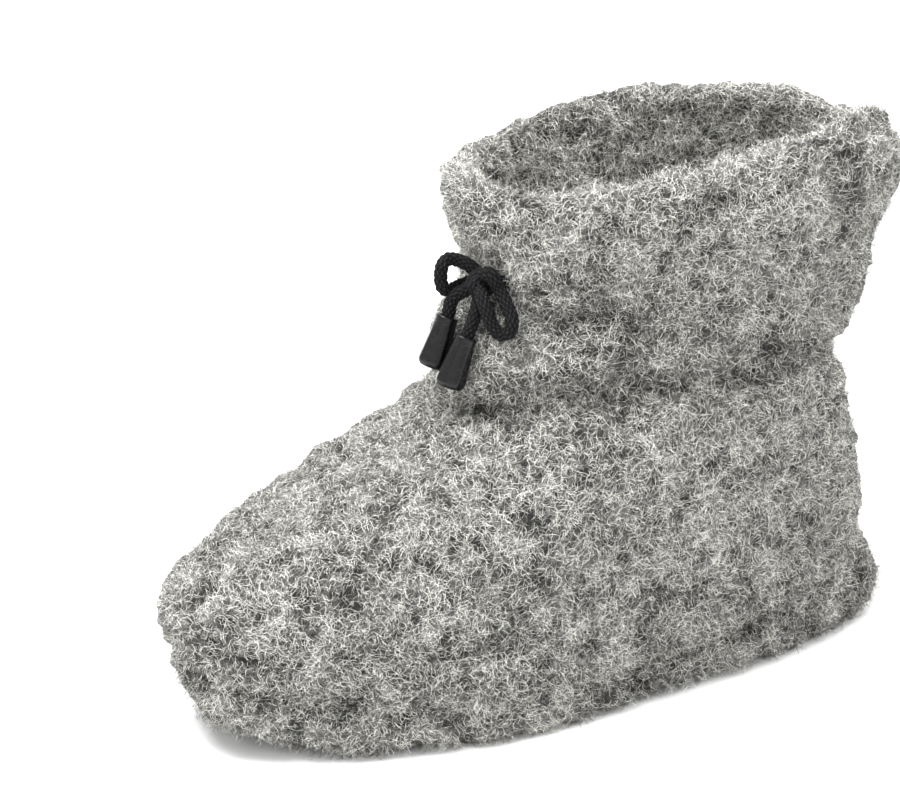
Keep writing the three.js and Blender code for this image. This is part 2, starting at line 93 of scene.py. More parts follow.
class Wire:
    """One output of a node. Its operators add the Math or Vector Math nodes of an expression."""

    def __init__(self, net: "Net", socket: bpy.types.NodeSocket) -> None:
        """Wraps a socket.

        Args:
            net: The tree that the socket is in.
            socket: The output that the wire starts from.
        """
        self.net = net
        self.socket = socket

    @property
    def is_vector(self) -> bool:
        """Whether it carries three numbers."""
        return self.socket.type in {"VECTOR", "RGBA"}

    def __add__(self, other: "Value") -> "Wire":
        """Adds."""
        return self.net.maths("ADD", self, other)

    __radd__ = __add__

    def __sub__(self, other: "Value") -> "Wire":
        """Subtracts."""
        return self.net.maths("SUBTRACT", self, other)

    def __rsub__(self, other: "Value") -> "Wire":
        """Is subtracted from a plain value."""
        return self.net.maths("SUBTRACT", other, self)

    def __mul__(self, other: "Value") -> "Wire":
        """Multiplies."""
        return self.net.maths("MULTIPLY", self, other)

    __rmul__ = __mul__

    def __truediv__(self, other: "Value") -> "Wire":
        """Divides."""
        return self.net.maths("DIVIDE", self, other)

    def __pow__(self, other: "Value") -> "Wire":
        """Raises to a power."""
        return self.net.maths("POWER", self, other)


Value = Wire | float | int | Sequence[float] | str | bpy.types.ID


class Net:
    """A node tree being wired."""

    def __init__(self, tree: bpy.types.NodeTree) -> None:
        """Starts on a tree.

        Args:
            tree: The tree that nodes are added to.
        """
        self.tree = tree

    def node(
        self,
        kind: str,
        settings: dict[str, object] | None = None,
        values: dict[str | int, Value] | None = None,
    ) -> bpy.types.Node:
        """Adds a node.

        Args:
            kind: The node's type.
            settings: Its own settings, set first.
            values: What its sockets hold or are linked to, by name or by number.

        Returns:
            The node.
        """
        made = self.tree.nodes.new(kind)
        for name, value in (settings or {}).items():
            setattr(made, name, value)
        for key, value in (values or {}).items():
            socket = made.inputs[key] if isinstance(key, int) else self._named(made.inputs, key)
            if isinstance(value, Wire):
                self.tree.links.new(value.socket, socket)
            else:
                socket.default_value = value
        return made

    def wire(
        self,
        kind: str,
        settings: dict[str, object] | None = None,
        values: dict[str | int, Value] | None = None,
        out: str | int = 0,
    ) -> Wire:
        """Adds a node and gives one of its outputs.

        Args:
            kind: The node's type.
            settings: Its own settings.
            values: What its sockets hold or are linked to.
            out: The output's name or number.

        Returns:
            The output.
        """
        made = self.node(kind, settings, values)
        return Wire(self, made.outputs[out] if isinstance(out, int) else self._named(made.outputs, out))

    def maths(self, operation: str, *terms: Value) -> Wire:
        """Adds a Math node, or a Vector Math node where a term is a vector.

        Args:
            operation: The node's operation.
            terms: What it works on.

        Returns:
            The result.
        """
        vectors = [t for t in terms if (t.is_vector if isinstance(t, Wire) else isinstance(t, Sequence))]
        if not vectors:
            return self.wire("ShaderNodeMath", {"operation": operation}, dict(enumerate(terms)))
        if operation == "MULTIPLY" and len(vectors) == 1:
            factor = next(t for t in terms if t is not vectors[0])
            settings = {"operation": "SCALE"}
            return self.wire("ShaderNodeVectorMath", settings, {0: vectors[0], "Scale": factor})
        return self.wire("ShaderNodeVectorMath", {"operation": operation}, dict(enumerate(terms)))

    def noise(self, place: Wire, size: Value, detail: float = 2.0, roughness: float = 0.5) -> Wire:
        """Adds a noise pattern.

        Args:
            place: Where it is read.
            size: The width of its blobs.
            detail: How many finer layers it has.
            roughness: How strong these are.

        Returns:
            A number from 0 to 1.
        """
        scale = 1 / size if not isinstance(size, Wire) else self.maths("DIVIDE", 1.0, size)
        values = {"Vector": place, "Scale": scale, "Detail": detail, "Roughness": roughness}
        return self.wire("ShaderNodeTexNoise", None, values)

    def spread(
        self, value: Wire, low: float, high: float, to_low: float = 0.0, to_high: float = 1.0
    ) -> Wire:
        """Maps a range of values onto another, held at its ends.

        Args:
            value: What is mapped.
            low: The start of its range.
            high: The end of its range.
            to_low: What the start becomes.
            to_high: What the end becomes.

        Returns:
            The mapped value.
        """
        settings = {"interpolation_type": "SMOOTHSTEP"}
        return self.wire("ShaderNodeMapRange", settings, {0: value, 1: low, 2: high, 3: to_low, 4: to_high})

    def blend(self, factor: Value, first: Value, second: Value) -> Wire:
        """Mixes two colours.

        Args:
            factor: 0 gives the first and 1 the second.
            first: A colour of three numbers, or a link.
            second: A colour of three numbers, or a link.

        Returns:
            The mixed colour.
        """
        ends = [c if isinstance(c, Wire) else (*c, 1.0) for c in (first, second)]
        settings = {"data_type": "RGBA"}
        return self.wire("ShaderNodeMix", settings, {0: factor, 6: ends[0], 7: ends[1]}, out=2)

    def feed(self, shader: bpy.types.Node, **values: Wire) -> None:
        """Links values to a shader's sockets, with _ for a space in their names."""
        for label, value in values.items():
            self.tree.links.new(value.socket, shader.inputs[label.replace("_", " ")])

    @staticmethod
    def _named(sockets: bpy.types.bpy_prop_collection, name: str) -> bpy.types.NodeSocket:
        """The socket of a name that is in use, because some nodes have several of one name."""
        return next(s for s in sockets if s.name == name and s.enabled)


class GeometryNet(Net):
    """A Geometry Nodes tree with named inputs."""

    KINDS = {
        float: "NodeSocketFloat",
        int: "NodeSocketInt",
        bpy.types.Object: "NodeSocketObject",
        bpy.types.Material: "NodeSocketMaterial",
    }

    def __init__(self, name: str, **inputs: type) -> None:
        """Makes an empty tree.

        Args:
            name: The tree's name.
            inputs: The kind of each named input, besides the geometry and the material.
        """
        super().__init__(bpy.data.node_groups.new(name, "GeometryNodeTree"))
        face = self.tree.interface
        face.new_socket("Geometry", in_out="OUTPUT", socket_type="NodeSocketGeometry")
        face.new_socket("Geometry", in_out="INPUT", socket_type="NodeSocketGeometry")
        self.identifiers: dict[str, str] = {}
        for label, kind in {**inputs, "material": bpy.types.Material}.items():
            socket = face.new_socket(label, in_out="INPUT", socket_type=self.KINDS[kind])
            self.identifiers[label] = socket.identifier
        self.entry = self.node("NodeGroupInput")

    def given(self, name: str) -> Wire:
        """One of the tree's inputs, by its name."""
        return Wire(self, self.entry.outputs[name])

    def named(self, name: str, kind: str) -> Wire:
        """Reads a named attribute of a kind, such as FLOAT or FLOAT_VECTOR."""
        return self.wire("GeometryNodeInputNamedAttribute", {"data_type": kind}, {"Name": name})

    def store(self, geometry: Wire, name: str, kind: str, value: Value) -> Wire:
        """Stores an attribute on points.

        Args:
            geometry: What it is stored on.
            name: Its name.
            kind: Its kind.
            value: What it holds.

        Returns:
            The geometry with it.
        """
        settings = {"data_type": kind, "domain": "POINT"}
        values = {"Geometry": geometry, "Name": name, "Value": value}
        return self.wire("GeometryNodeStoreNamedAttribute", settings, values)

    def chance(self, seed: Value) -> Wire:
        """Three random numbers from 0 to 1 for each point."""
        settings = {"data_type": "FLOAT_VECTOR"}
        return self.wire("FunctionNodeRandomValue", settings, {"Seed": seed})

    def parts_of(self, vector: Wire) -> tuple[Wire, Wire, Wire]:
        """The three numbers of a vector."""
        made = self.node("ShaderNodeSeparateXYZ", None, {0: vector})
        return tuple(Wire(self, out) for out in made.outputs)

    def end(self, geometry: Wire) -> None:
        """Ends the tree: real geometry, the material, the output."""
        real = self.wire("GeometryNodeRealizeInstances", None, {"Geometry": geometry})
        values = {"Geometry": real, "Material": self.given("material")}
        dressed = self.wire("GeometryNodeSetMaterial", None, values)
        self.node("NodeGroupOutput", None, {"Geometry": dressed})

    def run(self, host: bpy.types.Object, name: str, **values: object) -> bpy.types.Object:
        """Runs the tree on an object and keeps the result as a plain mesh.

        Args:
            host: What the tree starts from.
            name: The new object's name.
            values: The tree's inputs, by name.

        Returns:
            The new object, at the origin.
        """
        modifier = host.modifiers.new(self.tree.name, "NODES")
        modifier.node_group = self.tree
        for label, value in values.items():
            modifier[self.identifiers[label]] = value
        mesh = evaluated(host)
        host.modifiers.remove(modifier)
        return placed(name, mesh)


def placed(name: str, mesh: bpy.types.Mesh) -> bpy.types.Object:
    """Puts a mesh in the scene at the origin.

    Args:
        name: The object's name.
        mesh: The mesh, with its place in it.

    Returns:
        The object.
    """
    made = bpy.data.objects.new(name, mesh)
    mesh.name = name
    bpy.context.scene.collection.objects.link(made)
    return made


def evaluated(host: bpy.types.Object) -> bpy.types.Mesh:
    """An object's mesh with its modifiers applied."""
    bpy.context.view_layer.update()
    graph = bpy.context.evaluated_depsgraph_get()
    return bpy.data.meshes.new_from_object(host.evaluated_get(graph), depsgraph=graph)


def drop(made: bpy.types.Object) -> None:
    """Removes an object that was only a helper."""
    bpy.data.objects.remove(made, do_unlink=True)


def mesh_from(
    name: str, points: Sequence[Sequence[float]], faces: Sequence[Sequence[int]]
) -> bpy.types.Mesh:
    """Makes a mesh of points and faces. Without faces its points are joined in a line.

    Args:
        name: The mesh's name.
        points: Its points.
        faces: The numbers of each face's points.

    Returns:
        The mesh.
    """
    mesh = bpy.data.meshes.new(name)
    edges = [] if faces else [(k, k + 1) for k in range(len(points) - 1)]
    mesh.from_pydata([tuple(p) for p in points], edges, faces)
    mesh.update()
    return mesh


def points_of(mesh: bpy.types.Mesh) -> np.ndarray:
    """A mesh's points, a row each."""
    found = np.empty(len(mesh.vertices) * 3, np.float32)
    mesh.vertices.foreach_get("co", found)
    return found.reshape(-1, 3)


def normals_of(mesh: bpy.types.Mesh) -> np.ndarray:
    """A mesh's normals at its points, a row each."""
    found = np.empty(len(mesh.vertices) * 3, np.float32)
    mesh.vertex_normals.foreach_get("vector", found)
    return found.reshape(-1, 3)


def smooth_route(points: Sequence[Point], step: float) -> list[Vector]:
    """A smooth line through points, in even steps.

    Args:
        points: What the line goes through.
        step: The distance between the points of the result.

    Returns:
        The line's points.
    """
    known = np.array(points, float)
    known = np.vstack([2 * known[0] - known[1], known, 2 * known[-1] - known[-2]])
    knots = np.concatenate([[0], np.cumsum(np.linalg.norm(np.diff(known, axis=0), axis=1) ** 0.5)])
    fine = []
    for k in range(1, len(known) - 2):
        t0, t1, t2, t3 = knots[k - 1 : k + 3]
        t = np.linspace(t1, t2, ROUTE_SAMPLES, endpoint=False)[:, None]
        a1 = (t1 - t) / (t1 - t0) * known[k - 1] + (t - t0) / (t1 - t0) * known[k]
        a2 = (t2 - t) / (t2 - t1) * known[k] + (t - t1) / (t2 - t1) * known[k + 1]
        a3 = (t3 - t) / (t3 - t2) * known[k + 1] + (t - t2) / (t3 - t2) * known[k + 2]
        b1 = (t2 - t) / (t2 - t0) * a1 + (t - t0) / (t2 - t0) * a2
        b2 = (t3 - t) / (t3 - t1) * a2 + (t - t1) / (t3 - t1) * a3
        fine.append((t2 - t) / (t2 - t1) * b1 + (t - t1) / (t2 - t1) * b2)
    line = np.vstack([*fine, known[-2]])
    run = np.concatenate([[0], np.cumsum(np.linalg.norm(np.diff(line, axis=0), axis=1))])
    even = np.linspace(0, run[-1], max(2, round(run[-1] / step) + 1))
    return [Vector(p) for p in np.stack([np.interp(even, run, line[:, k]) for k in range(3)], 1)]


def report(piece: bpy.types.Object) -> None:
    """Logs a piece's name and how many triangles it has."""
    mesh = piece.data
    LOG.info("%s: %d triangles", piece.name, len(mesh.loops) - 2 * len(mesh.polygons))


def principled(name: str, **fixed: float) -> tuple[Net, bpy.types.Node, bpy.types.Material]:
    """Starts a material.

    Args:
        name: The material's name.
        fixed: Numbers for the shader's sockets, with _ for a space in their names.

    Returns:
        The tree, the shader's node and the material.
    """
    material = bpy.data.materials.new(name)
    material.use_nodes = True
    shader = material.node_tree.nodes["Principled BSDF"]
    for label, value in fixed.items():
        shader.inputs[label.replace("_", " ")].default_value = value
    return Net(material.node_tree), shader, material


@dataclass(frozen=True)
class WoolFinish:
    """Loose curls of light and dark wool fibres."""

    dark: Colour = (0.014, 0.0137, 0.0124)
    light: Colour = (0.94, 0.932, 0.868)
    root_painted_shade: float = 0.06
    root_reach: float = 0.45

    def make(self) -> bpy.types.Material:
        """The fibres' material. Their map has the fibre's shade across and its length up."""
        net, shader, material = principled("wool_curls", Roughness=0.85, Specular_IOR_Level=0.25)
        place = net.wire("ShaderNodeUVMap", {"uv_map": BAKE_MAP})
        parts = net.node("ShaderNodeSeparateXYZ", None, {0: place})
        shade, along = Wire(net, parts.outputs[0]), Wire(net, parts.outputs[1])
        tone = net.blend(shade, self.dark, self.light)
        # Painted shade: each fibre is darker towards its root, where the fibres shade one another.
        root = net.spread(along, 0.0, self.root_reach, self.root_painted_shade, 1.0)
        colour = net.wire("ShaderNodeVectorMath", {"operation": "SCALE"}, {0: tone, "Scale": root})
        net.feed(shader, Base_Color=colour)
        return material


@dataclass(frozen=True)
class UnderwoolFinish:
    """The dense felted wool under the curls, with curling hairs on a dark ground."""

    # The near-black ground is partly painted shade of the deep gaps between the fibres.
    dark: Colour = (0.008, 0.0078, 0.007)
    light: Colour = (0.3, 0.294, 0.277)
    tuft: float = 8 * MM
    clump: float = 3.2 * MM
    hairs: tuple[tuple[float, float], ...] = ((0.9 * MM, 0.0), (0.7 * MM, 7.3), (1.3 * MM, 17.9))
    hair_width: float = 0.06
    relief: float = 0.5 * MM

    def make(self) -> bpy.types.Material:
        """The shells' material."""
        net, shader, material = principled("underwool", Roughness=1.0)
        place = net.wire("ShaderNodeTexCoord", out="Object")
        tufts = net.noise(place, self.tuft * 1.25, detail=3.0, roughness=0.6)
        clumps = net.noise(place, self.clump, detail=1.0)
        hair = None
        for size, start in self.hairs:
            curls = net.noise(place + (start, start, start), size, detail=1.0, roughness=0.4)
            line = net.spread(net.maths("ABSOLUTE", curls - 0.5), 0.0, self.hair_width, 1.0, 0.0)
            hair = line if hair is None else net.maths("MAXIMUM", hair, line)
        # Painted light and shade: the ground follows the tufts and their curls, darker in their hollows and
        # paler on their tops, along with its own mottling.
        tone = net.spread(tufts * 0.65 + clumps * 0.35, 0.38, 0.6, 0.15, 1.0)
        height = {"Height": hair, "Distance": self.relief, "Strength": 0.7}
        bump = net.wire("ShaderNodeBump", None, height)
        colour = net.blend(tone * (hair * 0.8 + 0.2), self.dark, self.light)
        net.feed(shader, Base_Color=colour, Normal=bump)
        return material


@dataclass(frozen=True)
class BraidFinish:
    """Black braided polyester cord."""

    painted_gap_shade: Colour = (0.001, 0.001, 0.001)
    thread: Colour = (0.003, 0.003, 0.0035)
    worn: Colour = (0.034, 0.034, 0.037)
    grain: float = 0.3 * MM
    relief: float = 0.15 * MM

    def make(self) -> bpy.types.Material:
        """The cords' material."""
        net, shader, material = principled("braided_cord", Roughness=0.85, Specular_IOR_Level=0.15)
        place = net.wire("ShaderNodeTexCoord", out="Object")
        threads = net.noise(place, self.grain, detail=2.0)
        crown = net.wire("ShaderNodeAttribute", {"attribute_name": "crown"}, out="Fac")
        tone = net.blend(net.spread(threads, 0.42, 0.72), self.thread, self.worn)
        # Painted shade: the low places between the braid's strands are darker.
        tone = net.blend(net.spread(crown, 0.15, 0.85), self.painted_gap_shade, tone)
        height = {"Height": threads, "Distance": self.relief, "Strength": 0.6}
        bump = net.wire("ShaderNodeBump", None, height)
        net.feed(shader, Base_Color=tone, Normal=bump)
        return material


@dataclass(frozen=True)
class MouldedFinish:
    """Matte black moulded plastic."""

    colour: Colour = (0.0035, 0.0035, 0.004)
    scuffed: Colour = (0.009, 0.009, 0.01)
    grain: float = 0.35 * MM
    relief: float = 0.03 * MM
    roughness: tuple[float, float] = (0.22, 0.34)

    def make(self) -> bpy.types.Material:
        """The cord ends' material."""
        net, shader, material = principled("moulded_end", Specular_IOR_Level=0.25)
        place = net.wire("ShaderNodeTexCoord", out="Object")
        grain = net.noise(place, self.grain, detail=2.0)
        scuffs = net.noise(place, 6 * self.grain, detail=4.0, roughness=0.7)
        height = {"Height": grain, "Distance": self.relief, "Strength": 0.5}
        bump = net.wire("ShaderNodeBump", None, height)
        tone = net.blend(net.spread(scuffs, 0.5, 0.75), self.colour, self.scuffed)
        rough = net.spread(scuffs, 0.3, 0.7, *self.roughness)
        net.feed(shader, Base_Color=tone, Roughness=rough, Normal=bump)
        return material


@dataclass
class Studio:
    """The camera at the photograph's angle, a pale floor and soft light."""

    image_size: tuple[int, int] = (900, 789)
    focal_px: float = 2801.0
    azimuth: float = 62.565
    elevation: float = 20.298
    roll: float = -0.732
    distance: float = 0.95
    look_at: Point = (0.0, 16.22 * MM, 81.5 * MM)
    look_at_px: tuple[float, float] = (579.0, 430.0)
    sensor: float = 36.0
    floor_half: float = 3.0
    floor_colour: Colour = (0.9, 0.9, 0.9)

    def axes(self) -> tuple[Vector, Vector, Vector]:
        """The camera's right, up and back."""
        a, e, r = (math.radians(x) for x in (self.azimuth, self.elevation, self.roll))
        back = Vector((math.sin(a) * math.cos(e), -math.cos(a) * math.cos(e), math.sin(e)))
        right = Vector((0, 0, 1)).cross(back).normalized()
        up = back.cross(right)
        return right * math.cos(r) + up * math.sin(r), up * math.cos(r) - right * math.sin(r), back

    def camera(self) -> None:
        """Adds the camera. It is turned so that look_at shows at its pixel, with no lens shift."""
        right, up, back = self.axes()
        width, height = self.image_size
        data = bpy.data.cameras.new("camera")
        data.sensor_width = self.sensor
        data.lens = self.focal_px / width * self.sensor
        data.clip_start = 0.05
        aside = (self.look_at_px[0] - width / 2) / self.focal_px
        down = (self.look_at_px[1] - height / 2) / self.focal_px
        turn = Vector((aside, -down, -1)).rotation_difference(Vector((0, 0, -1)))
        facing = Matrix((right, up, back)).transposed()
        made = bpy.data.objects.new("camera", data)
        place = Vector(self.look_at) + back * self.distance
        made.matrix_world = Matrix.LocRotScale(place, (facing @ turn.to_matrix()).to_quaternion(), None)
        bpy.context.scene.collection.objects.link(made)
        bpy.context.scene.camera = made

    def floor(self) -> None:
        """Adds the floor, a wide pale sheet."""
        h = self.floor_half
        corners = [(-h, -h, 0), (h, -h, 0), (h, h, 0), (-h, h, 0)]
        made = placed("floor", mesh_from("floor", corners, [(0, 1, 2, 3)]))
        _, shader, material = principled("pale_floor", Roughness=0.6)
        shader.inputs["Base Color"].default_value = (*self.floor_colour, 1)
        made.data.materials.append(material)

    def light(
        self, name: str, aside: float, up: float, near: float, size: float, power: float
    ) -> None:
        """Adds a square soft light that points at the slipper.

        Args:
            name: The light's name.
            aside: Its place to the right in the picture.
            up: Its height.
            near: Its place towards the camera.
            size: The length of its side.
            power: Its power in watts.
        """
        right, _, back = self.axes()
        level = Vector((back.x, back.y, 0)).normalized()
        data = bpy.data.lights.new(name, "AREA")
        data.size = size
        data.energy = power
        made = bpy.data.objects.new(name, data)
        target = Vector(self.look_at)
        place = target + right * aside + level * near + Vector((0, 0, up))
        made.location = place
        made.rotation_euler = (place - target).to_track_quat("Z", "Y").to_euler()
        bpy.context.scene.collection.objects.link(made)

    def sky(self, strength: float) -> None:
        """Lights the scene evenly from all sides."""
        world = bpy.data.worlds.new("studio")
        world.use_nodes = True
        background = world.node_tree.nodes["Background"]
        background.inputs["Color"].default_value = (1.0, 1.0, 1.0, 1.0)
        background.inputs["Strength"].default_value = strength
        bpy.context.scene.world = world

    def build(self) -> None:
        """Makes all of it."""
        self.camera()
        self.floor()
        self.light("key", aside=-0.45, up=1.45, near=0.1, size=0.8, power=46.0)
        self.light("side", aside=0.9, up=1.3, near=-0.9, size=1.0, power=26.0)
        self.light("fill", aside=-0.2, up=0.8, near=1.5, size=1.4, power=4.0)
        self.sky(1.2)
        bpy.context.scene.view_settings.view_transform = "Standard"


@dataclass
class Drawcord:
    """The bow: two halves of one braided cord, the knot round them and a moulded end on each tail.

    Routes are in millimetres from the knot's middle, as in the solids.
    """

    diameter: float = 4.3 * MM
    step: float = 0.28 * MM
    columns: int = 40
    carriers: int = 8
    pitch: float = 2.6 * MM
    relief: float = 0.7 * MM
    strand_end: float = 0.4
    strand_middle: float = 0.65
    end_length: float = 17.5 * MM
    end_width: float = 10.4 * MM
    end_bore: float = 4 * MM
    end_play: float = 0.3 * MM
    end_facets: int = 8
    facet_depth: float = 0.9
    cord_gap: float = 0.4 * MM
    left: tuple[Point, ...] = (
        (-3.5, 10.8, 0), (-3.5, 7, 0.2), (-3.3, 4, 0.8), (-2.8, 1.2, 2), (-3.1, -0.6, 3.6),
        (-4, -1.7, 4.7), (-5.2, -3.5, 6.1), (-6.4, -5.4, 6.9), (-7, -8, 7.5), (-6.6, -10.4, 6.2),
        (-6.6, -11.3, 2.3), (-6.8, -10.5, -1.7), (-7, -8.3, -3.1), (-7.3, -4.9, -2.3), (-5.7, -1.8, -1),
        (-3, -0.9, 0), (-0.8, -1.8, 0.6), (-0.9, -3.4, -0.6),
        (-2, -4.8, -2.2), (-3.2, -7, -3.4), (-4.2, -8.9, -5.9), (-4.1, -10.3, -10.6),
    )
    left_hang: Point = (0, -6.2, -15.3)
    right: tuple[Point, ...] = (
        (3.5, 10.8, 0), (3.5, 7, 0.2), (3.2, 4, 0.8), (2.9, 1.2, 2.2), (3.7, -0.4, 4),
        (5.3, -1, 5), (7, 0.1, 4.7), (8.2, 2, 0.3), (12, 2.9, -4.3), (15.3, 3.2, -8.6),
        (15.7, 2.2, -12.3), (14, -0.4, -13.3), (12, -2.3, -10.6), (9.8, -2.9, -6.4), (7.1, -3.2, -2.6),
        (5, -2.6, -1.6), (2.8, -1.6, -0.6), (1.2, -1.2, -1.2), (1.2, -1.6, -3),
        (1.7, -2, -5), (3, -3.6, -8.2), (4.4, -5.8, -11.7), (5.2, -8.1, -15.3),
    )
    right_hang: Point = (0, -7.4, -16.6)
    wrap_radius: float = 2.85
    wrap_half: float = 2.0
    wrap_turns: float = 2.0
    wrap_points: int = 28
    # Sections of a moulded end: the share of its length down, the width and how eight-sided it is.
    end_sections: tuple[tuple[float, float, float], ...] = (
        (0.0, 0.6, 0.0), (0.012, 0.68, 0.0), (0.03, 0.705, 0.0), (0.07, 0.71, 0.0), (0.085, 0.695, 0.0),
        (0.1, 0.7, 0.0), (0.13, 0.715, 0.0), (0.145, 0.7, 0.0), (0.16, 0.705, 0.05), (0.2, 0.73, 0.2),
        (0.26, 0.76, 0.5), (0.34, 0.79, 0.75), (0.45, 0.835, 0.9), (0.6, 0.89, 1.0), (0.75, 0.95, 1.0),
        (0.84, 0.985, 1.0), (0.88, 0.99, 0.95), (0.915, 0.965, 0.85), (0.95, 0.91, 0.7), (0.98, 0.83, 0.6),
        (0.995, 0.74, 0.6), (1.0, 0.6, 0.6), (1.0, 0.3, 0.6),
    )
    end_columns: int = 72
    middle: Vector = field(init=False)

    def __post_init__(self) -> None:
        """Finds the knot in the frame."""
        low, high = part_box("bow_knot")
        self.middle = (low + high) / 2

    def at(self, point: Point) -> Vector:
        """A point of the bow's own frame, in the slipper's frame."""
        return self.middle + Vector(point) * MM

    def braid(self) -> GeometryNet:
        """The tree that makes a braided cord along a line."""
        net = GeometryNet("braid", carriers=float, pitch=float, relief=float, radius=float, columns=int)
        run = net.wire("GeometryNodeSplineParameter", out="Length")
        turn = net.wire("GeometryNodeSplineParameter", out="Factor")
        rail = net.wire("GeometryNodeMeshToCurve", None, {0: net.given("Geometry")})
        rail = net.store(rail, "run", "FLOAT", run)
        ring = net.wire(
            "GeometryNodeCurvePrimitiveCircle",
            {"mode": "RADIUS"},
            {"Resolution": net.given("columns"), "Radius": net.given("radius")},
        )
        ring = net.store(ring, "turn", "FLOAT", turn)
        tube = net.wire(
            "GeometryNodeCurveToMesh", None, {"Curve": rail, "Profile Curve": ring, "Fill Caps": True}
        )
        across = net.named("turn", "FLOAT") * net.given("carriers")
        along = net.named("run", "FLOAT") / net.given("pitch")
        rising = across + along
        falling = across - along
        over = net.maths("PINGPONG", net.maths("FLOOR", rising) + net.maths("FLOOR", falling), 1.0)
        strand = [net.maths("SINE", net.maths("FRACT", side) * math.pi) for side in (rising, falling)]
        ends = [strand[1] ** self.strand_end, strand[0] ** self.strand_end]
        height = strand[0] * ends[0] * over + strand[1] * ends[1] * (1.0 - over)
        normal = net.wire("GeometryNodeInputNormal")
        lift = normal * ((height - self.strand_middle) * net.given("relief"))
        crowned = net.store(tube, "crown", "FLOAT", height)
        raised = net.wire("GeometryNodeSetPosition", None, {"Geometry": crowned, "Offset": lift})
        smooth = net.wire("GeometryNodeSetShadeSmooth", None, {"Geometry": raised})
        net.end(smooth)
        return net

    def tube(
        self, net: GeometryNet, name: str, route: Sequence[Vector], material: bpy.types.Material
    ) -> bpy.types.Object:
        """A braided cord along a route.

        Args:
            net: The braid's tree.
            name: The cord's name.
            route: Its centreline.
            material: Its material.

        Returns:
            The cord's object.
        """
        line = placed("line", mesh_from("line", route, []))
        made = net.run(
            line,
            name,
            carriers=float(self.carriers),
            pitch=self.pitch,
            relief=self.relief,
            radius=self.diameter / 2,
            columns=self.columns,
            material=material,
        )
        drop(line)
        return made

    def cord_end(
        self, name: str, mouth: Vector, hang: Vector, material: bpy.types.Material
    ) -> bpy.types.Object:
        """A moulded end with soft facets.

        Args:
            name: Its name.
            mouth: The middle of its open top.
            hang: Which way it hangs.
            material: Its material.

        Returns:
            The end's object.
        """
        side, half = TURN / self.end_facets, self.end_width / 2
        bore = (self.diameter / 2 + self.end_play) / half
        sections = [(self.end_bore / self.end_length, bore, 0.0), (0.004, bore, 0.0), *self.end_sections]
        down = hang.normalized()
        across = down.cross(Vector((0, 1, 0))).normalized()
        ahead = across.cross(down)
        points = [mouth + down * self.end_bore]
        for share, width, facet in sections:
            for c in range(self.end_columns):
                angle = c / self.end_columns * TURN
                flat = math.cos(side / 2) / math.cos(angle % side - side / 2)
                radius = half * width * (1 + (flat - 1) * facet * self.facet_depth)
                out = across * math.cos(angle) + ahead * math.sin(angle)
                points.append(mouth + down * share * self.end_length + out * radius)
        points.append(mouth + down * self.end_length)
        made = placed(name, mesh_from(name, points, self.end_faces(len(sections))))
        straighten(made.data)
        made.data.shade_smooth()
        made.data.materials.append(material)
        return made

    def end_faces(self, rings: int) -> list[tuple[int, ...]]:
        """The faces of a moulded end, between its two middle points and its rings."""
        n = self.end_columns
        last = rings * n + 1
        faces = []
        for c in range(n):
            d = (c + 1) % n
            faces.append((0, 1 + d, 1 + c))
            faces.append((last, last - n + c, last - n + d))
        for r in range(rings - 1):
            for c in range(n):
                d = (c + 1) % n
                faces.append((1 + r * n + c, 1 + r * n + d, 1 + (r + 1) * n + d, 1 + (r + 1) * n + c))
        return faces

    def knot_route(self) -> list[Vector]:
        """The knot's line: two turns round the roots of both loops."""
        points = []
        for k in range(self.wrap_points):
            share = k / (self.wrap_points - 1)
            angle = TURN * (self.wrap_turns * share + 0.25)
            radius = self.wrap_radius * min(1.0, 0.4 + 6 * min(share, 1 - share))
            x = self.wrap_half * (2 * share - 1)
            points.append(self.at((x, -math.cos(angle) * radius, math.sin(angle) * radius)))
        return smooth_route([tuple(p) for p in points], self.step)

    def build(self) -> None:
        """Makes the bow and its two cords."""
        net = self.braid()
        cord, plastic = BraidFinish().make(), MouldedFinish().make()
        knot = self.tube(net, "bow_knot_wraps", self.knot_route(), cord)
        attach(knot, BODY)
        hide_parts("bow_knot")
        report(knot)
        halves = (("left", self.left, self.left_hang), ("right", self.right, self.right_hang))
        for side, points, hang in halves:
            mouth, down = self.at(points[-1]), Vector(hang).normalized()
            inside = mouth + down * (self.end_bore - self.cord_gap)
            route = smooth_route([*(tuple(self.at(p)) for p in points), tuple(inside)], self.step)
            made = self.tube(net, f"drawcord_{side}_half", route, cord)
            end = self.cord_end(f"cord_end_{side}_moulded", mouth, down, plastic)
            for piece, slot, nodes in (
                (made, Slot.CORD, (f"drawcord_{side}", f"bow_loop_{side}", f"bow_tail_{side}")),
                (end, Slot.CORD_END, (f"cord_end_{side}",)),
            ):
                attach(piece, BODY)
                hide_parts(*nodes)
                report(piece)


def straighten(mesh: bpy.types.Mesh) -> None:
    """Turns a closed mesh's faces outwards."""
    work = bmesh.new()
    work.from_mesh(mesh)
    bmesh.ops.recalc_face_normals(work, faces=work.faces)
    work.to_mesh(mesh)
    work.free()


@dataclass(frozen=True)
class Crease:
    """A soft trough in the fleece, or a ridge where depth is below 0. Its route is in millimetres."""

    depth: float
    width: float
    route: tuple[Point, ...]

    def pull(self, points: np.ndarray) -> np.ndarray:
        """How far each point is pulled in.

        Args:
            points: The places, a row each.

        Returns:
            A length for each.
        """
        line = np.array(self.route) * MM
        nearest = np.full(len(points), np.inf)
        for a, b in zip(line, line[1:]):
            along = np.clip((points - a) @ (b - a) / ((b - a) @ (b - a)), 0, 1)
            nearest = np.minimum(nearest, np.linalg.norm(points - a - along[:, None] * (b - a), axis=1))
        return self.depth * MM * np.exp(-((nearest / (self.width * MM)) ** 2))


